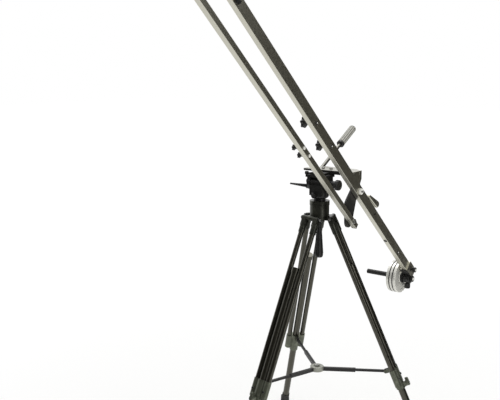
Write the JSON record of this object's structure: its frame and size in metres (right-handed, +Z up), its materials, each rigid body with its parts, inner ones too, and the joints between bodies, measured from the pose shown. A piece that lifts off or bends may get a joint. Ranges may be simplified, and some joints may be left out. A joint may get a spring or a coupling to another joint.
{
  "type": "camera crane on tripod",
  "caption": "Counterweighted parallelogram camera jib on a fluid-head tripod with mid-level spreader.",
  "frame": {"origin": "on the floor under the tripod's centre axis", "axes": "+Z up; -Y towards the camera end of the boom; +X towards the side the bars are on, square to the boom"},
  "size_m": [1.0465, 2.0117, 2.3931],
  "materials": {
    "anodised_aluminium": "satin olive-grey anodise",
    "black_plastic": "matt moulded",
    "black_metal": "satin black anodise",
    "cast_grey": "grey-green paint on die casting",
    "rubber": "matt",
    "chrome": "polished",
    "weight_metal": "plated plates"
  },
  "bodies": {
    "tripod_top": {"tripod_bowl": "black_metal", "hinge_bolts": "chrome", "half_ball": "cast_grey", "pan_base": "black_metal"},
    "tie_down": {"tie_down": "black_plastic"},
    "spreader_hub": {"spreader_hub": "cast_grey"},
    "head": {"head_body": "black_metal"},
    "pan_lock": {"pan_lock": "black_plastic"},
    "tilt_top": {"tilt_cradle": "black_metal", "quick_plate": "black_metal", "jib_base": "anodised_aluminium", "fulcrum_plate": "anodised_aluminium", "fulcrum_bolts": "chrome"},
    "drag_knob": {"drag_knob": "black_plastic"},
    "tilt_lever": {"tilt_lever": "black_plastic"},
    "plate_lock": {"plate_lock": "black_plastic"},
    "handle": {"pan_handle": "chrome", "handle_grip": "rubber"},
    "boom": {"upper_rear_bar": "anodised_aluminium", "upper_front_bar": "anodised_aluminium", "bar_bolts": "chrome", "upper_end_cap": "black_plastic", "weight_hanger": "black_metal", "weight_rod": "black_metal", "weight_collar": "black_metal"},
    "upper_knob_1": {"upper_knob_1": "black_plastic"},
    "upper_knob_2": {"upper_knob_2": "black_plastic"},
    "top_knob": {"top_knob": "anodised_aluminium"},
    "hanger_knob": {"hanger_knob": "black_plastic"},
    "rod_knob": {"rod_knob": "black_plastic"},
    "collar_screw": {"collar_screw": "black_plastic"},
    "plates": {"weight_plates": "weight_metal"},
    "lower_bar": {"lower_bar": "anodised_aluminium", "lower_end_caps": "black_plastic"},
    "lower_knob_1": {"lower_knob_1": "black_plastic"},
    "lower_knob_2": {"lower_knob_2": "black_plastic"},
    "camera_end": {"front_bracket": "anodised_aluminium", "front_bolts": "chrome", "camera_platform": "anodised_aluminium"},
    "leg_a": {"leg_top_a": "black_metal", "leg_tubes_a": "black_metal", "leg_casting_a": "cast_grey"},
    "leg_a_lower": {"leg_lower_a": "black_metal", "foot_a": "rubber"},
    "leg_a_lever": {"leg_lever_a": "black_plastic"},
    "spreader_arm_a": {"spreader_arm_a": "black_metal"},
    "leg_b": {"leg_top_b": "black_metal", "leg_tubes_b": "black_metal", "leg_casting_b": "cast_grey"},
    "leg_b_lower": {"leg_lower_b": "black_metal", "foot_b": "rubber"},
    "leg_b_lever": {"leg_lever_b": "black_plastic"},
    "spreader_arm_b": {"spreader_arm_b": "black_metal"},
    "leg_c": {"leg_top_c": "black_metal", "leg_tubes_c": "black_metal", "leg_casting_c": "cast_grey"},
    "leg_c_lower": {"leg_lower_c": "black_metal", "foot_c": "rubber"},
    "leg_c_lever": {"leg_lever_c": "black_plastic"},
    "spreader_arm_c": {"spreader_arm_c": "black_metal"}
  },
  "joints": [
    {"name": "leg_a_fold", "type": "hinge", "parent": "tripod_top", "child": "leg_a", "pos_m": [-0.01001, -0.05916, 1.216], "axis": [0.986, -0.1668, 0], "range_deg": [0, 10]},
    {"name": "leg_a_extend", "type": "slide", "parent": "leg_a", "child": "leg_a_lower", "axis": [-0.0665, -0.3932, -0.9171], "range_m": [-0.17, 0.4]},
    {"name": "leg_a_lever_turn", "type": "hinge", "parent": "leg_a", "child": "leg_a_lever", "pos_m": [-0.07489, -0.44278, 0.4165], "axis": [-0.1529, -0.9042, 0.3987], "range_deg": [0, 90]},
    {"name": "spreader_arm_a_pin", "type": "hinge", "parent": "leg_a", "child": "spreader_arm_a", "pos_m": [-0.05737, -0.33918, 0.46604], "axis": [0.986, -0.1668, 0], "range_deg": [-10, 0]},
    {"name": "leg_b_fold", "type": "hinge", "parent": "tripod_top", "child": "leg_b", "pos_m": [0.05624, 0.02091, 1.216], "axis": [-0.3486, 0.9373, 0], "range_deg": [0, 10]},
    {"name": "leg_b_extend", "type": "slide", "parent": "leg_b", "child": "leg_b_lower", "axis": [0.3737, 0.139, -0.9171], "range_m": [-0.17, 0.4]},
    {"name": "leg_b_lever_turn", "type": "hinge", "parent": "leg_b", "child": "leg_b_lever", "pos_m": [0.42091, 0.15653, 0.4165], "axis": [0.8595, 0.3197, 0.3987], "range_deg": [0, 90]},
    {"name": "spreader_arm_b_pin", "type": "hinge", "parent": "leg_b", "child": "spreader_arm_b", "pos_m": [0.32243, 0.11991, 0.46604], "axis": [-0.3486, 0.9373, 0], "range_deg": [-10, 0]},
    {"name": "leg_c_fold", "type": "hinge", "parent": "tripod_top", "child": "leg_c", "pos_m": [-0.04623, 0.03825, 1.216], "axis": [-0.6374, -0.7705, 0], "range_deg": [0, 10]},
    {"name": "leg_c_extend", "type": "slide", "parent": "leg_c", "child": "leg_c_lower", "axis": [-0.3072, 0.2542, -0.9171], "range_m": [-0.17, 0.4]},
    {"name": "leg_c_lever_turn", "type": "hinge", "parent": "leg_c", "child": "leg_c_lever", "pos_m": [-0.34602, 0.28625, 0.4165], "axis": [-0.7066, 0.5846, 0.3987], "range_deg": [0, 90]},
    {"name": "spreader_arm_c_pin", "type": "hinge", "parent": "leg_c", "child": "spreader_arm_c", "pos_m": [-0.26506, 0.21927, 0.46604], "axis": [-0.6374, -0.7705, 0], "range_deg": [-10, 0]},
    {"name": "spreader_hub_slide", "type": "slide", "parent": "tripod_top", "child": "spreader_hub", "axis": [0, 0, -1], "range_m": [0, 0.0276]},
    {"name": "tie_down_turn", "type": "hinge", "parent": "tripod_top", "child": "tie_down", "pos_m": [0, 0, 1.131], "axis": [0, 0, 1], "continuous": true},
    {"name": "pan", "type": "hinge", "parent": "tripod_top", "child": "head", "pos_m": [0, 0, 1.299], "axis": [0, 0, 1], "continuous": true},
    {"name": "pan_lock_turn", "type": "hinge", "parent": "head", "child": "pan_lock", "pos_m": [0, -0.05, 1.3258], "axis": [0, -1, 0], "continuous": true},
    {"name": "tilt", "type": "hinge", "parent": "head", "child": "tilt_top", "pos_m": [0, 0, 1.381], "axis": [1, 0, 0], "range_deg": [-15, 15]},
    {"name": "drag_knob_turn", "type": "hinge", "parent": "tilt_top", "child": "drag_knob", "pos_m": [0.1, 0, 1.381], "axis": [1, 0, 0], "continuous": true},
    {"name": "tilt_lever_turn", "type": "hinge", "parent": "tilt_top", "child": "tilt_lever", "pos_m": [-0.064, 0, 1.363], "axis": [1, 0, 0], "range_deg": [-40, 40]},
    {"name": "plate_lock_turn", "type": "hinge", "parent": "tilt_top", "child": "plate_lock", "pos_m": [-0.06, -0.02, 1.43], "axis": [1, 0, 0], "continuous": true},
    {"name": "handle_angle", "type": "hinge", "parent": "tilt_top", "child": "handle", "pos_m": [-0.0753, 0.04, 1.381], "axis": [1, 0, 0], "range_deg": [-50, 20]},
    {"name": "boom_lift", "type": "hinge", "parent": "tilt_top", "child": "boom", "pos_m": [0.183, 0.045, 1.355], "axis": [1, 0, 0], "range_deg": [-8, 80]},
    {"name": "lower_bar_pivot", "type": "hinge", "parent": "tilt_top", "child": "lower_bar", "pos_m": [0.183, -0.0045, 1.216], "axis": [1, 0, 0], "range_deg": [-8, 80]},
    {"name": "camera_end_pivot", "type": "hinge", "parent": "boom", "child": "camera_end", "pos_m": [0.183, -1.08017, 2.34697], "axis": [1, 0, 0], "range_deg": [-80, 8]},
    {"name": "upper_knob_1_turn", "type": "hinge", "parent": "boom", "child": "upper_knob_1", "pos_m": [0.143, -0.22279, 1.59109], "axis": [-1, 0, 0], "continuous": true},
    {"name": "upper_knob_2_turn", "type": "hinge", "parent": "boom", "child": "upper_knob_2", "pos_m": [0.143, -0.34731, 1.70087], "axis": [-1, 0, 0], "continuous": true},
    {"name": "lower_knob_1_turn", "type": "hinge", "parent": "lower_bar", "child": "lower_knob_1", "pos_m": [0.153, -0.4004, 1.56503], "axis": [-1, 0, 0], "continuous": true},
    {"name": "lower_knob_2_turn", "type": "hinge", "parent": "lower_bar", "child": "lower_knob_2", "pos_m": [0.153, -0.44166, 1.60141], "axis": [-1, 0, 0], "continuous": true},
    {"name": "top_knob_turn", "type": "hinge", "parent": "boom", "child": "top_knob", "pos_m": [0.183, 0.15021, 1.31557], "axis": [0, 0.6613, 0.7501], "range_deg": [-120, 40]},
    {"name": "hanger_knob_turn", "type": "hinge", "parent": "boom", "child": "hanger_knob", "pos_m": [0.218, 0.63096, 0.84924], "axis": [1, 0, 0], "continuous": true},
    {"name": "rod_knob_turn", "type": "hinge", "parent": "boom", "child": "rod_knob", "pos_m": [0.183, 0.62001, 0.75507], "axis": [0, 0, -1], "continuous": true},
    {"name": "collar_screw_turn", "type": "hinge", "parent": "boom", "child": "collar_screw", "pos_m": [0.1565, 0.62001, 0.76007], "axis": [0, 0, -1], "continuous": true},
    {"name": "plates_slide", "type": "slide", "parent": "boom", "child": "plates", "axis": [-1, 0, 0], "range_m": [0, 0.12]}
  ],
  "couplings": [
    {"joint": "spreader_arm_a_pin", "follows": "leg_a_fold", "ratio": -1},
    {"joint": "leg_b_fold", "follows": "leg_a_fold", "ratio": 1},
    {"joint": "spreader_arm_b_pin", "follows": "leg_a_fold", "ratio": -1},
    {"joint": "leg_c_fold", "follows": "leg_a_fold", "ratio": 1},
    {"joint": "spreader_arm_c_pin", "follows": "leg_a_fold", "ratio": -1},
    {"joint": "spreader_hub_slide", "follows": "leg_a_fold", "m_per_rad": 0.15526},
    {"joint": "lower_bar_pivot", "follows": "boom_lift", "ratio": 1},
    {"joint": "camera_end_pivot", "follows": "boom_lift", "ratio": -1}
  ]
}
